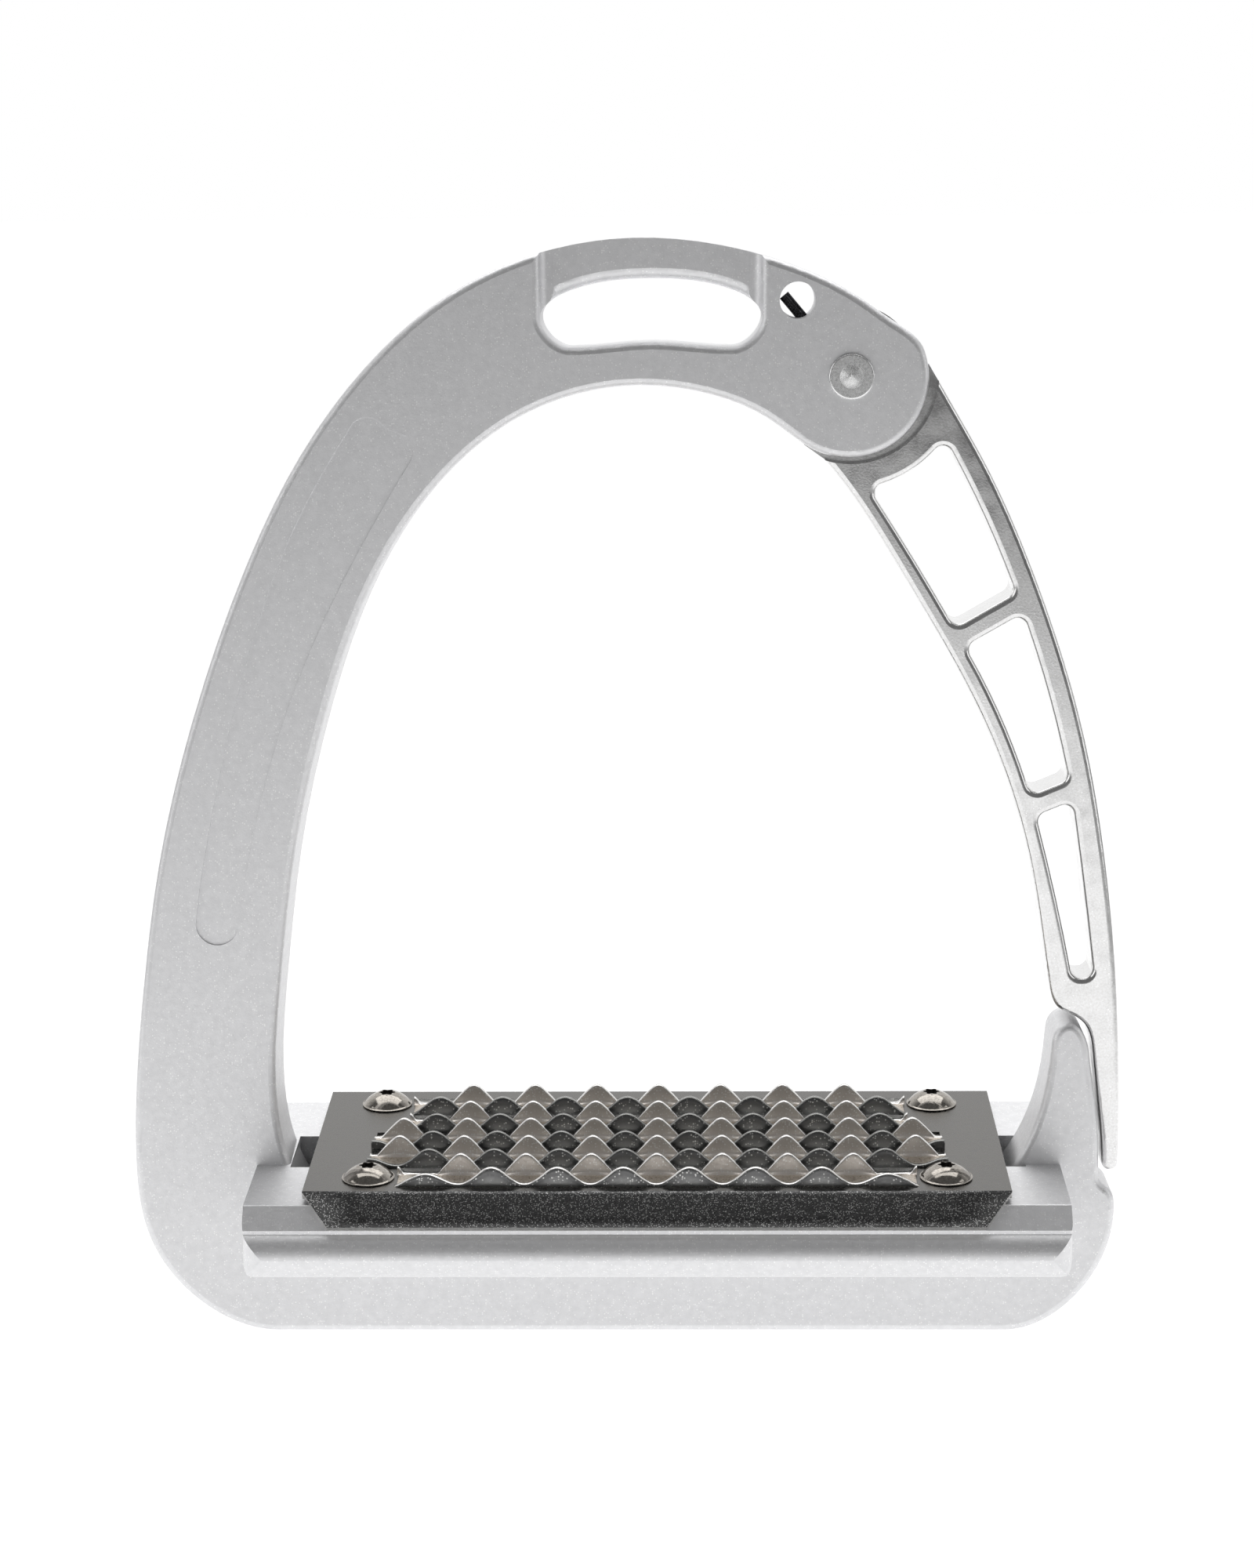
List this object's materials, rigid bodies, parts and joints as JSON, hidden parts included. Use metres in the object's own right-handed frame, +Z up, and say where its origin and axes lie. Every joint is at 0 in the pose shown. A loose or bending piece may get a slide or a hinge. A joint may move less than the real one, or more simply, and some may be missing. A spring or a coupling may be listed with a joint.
{
  "type": "stirrup iron",
  "caption": "Safety stirrup iron: a satin metal ring with a leather slot, a sprung windowed release arm hinged at the top, and a leaning tread with a pierced steel grip plate.",
  "frame": {"origin": "where the stirrup leather bears: under the middle of the bar above the slot, midway through the frame", "axes": "+X across the foot opening towards the release arm, +Y from the front face to the back, +Z up"},
  "size_m": [0.1582, 0.0579, 0.175],
  "materials": {
    "frame_metal": "satin cast metal with a fine sparkle",
    "arm_metal": "half-polished cast metal",
    "spring_wire": "dark drawn spring wire",
    "pin_steel": "turned steel",
    "bush_metal": "plain bearing metal",
    "plate_steel": "pressed stainless sheet, lighter on the bent-up teeth",
    "screw_steel": "polished stainless"
  },
  "bodies": {
    "iron": {"main_frame": "frame_metal", "hinge_pin": "pin_steel", "thrust_washer_front": "bush_metal", "thrust_washer_rear": "bush_metal", "return_spring": "spring_wire", "grip_plate": "plate_steel", "grip_screw_front_left": "screw_steel", "grip_screw_front_right": "screw_steel", "grip_screw_rear_left": "screw_steel", "grip_screw_rear_right": "screw_steel"},
    "arm": {"release_arm": "arm_metal", "hinge_bush": "bush_metal"}
  },
  "joints": [
    {"name": "release_hinge", "type": "hinge", "parent": "iron", "child": "arm", "pos_m": [0.0309, 0, -0.0151], "axis": [0, -1, 0], "range_deg": [0, 80], "stiffness_Nm_per_rad": 0.2, "springref_deg": -80.21, "deforming": ["return_spring"]}
  ]
}
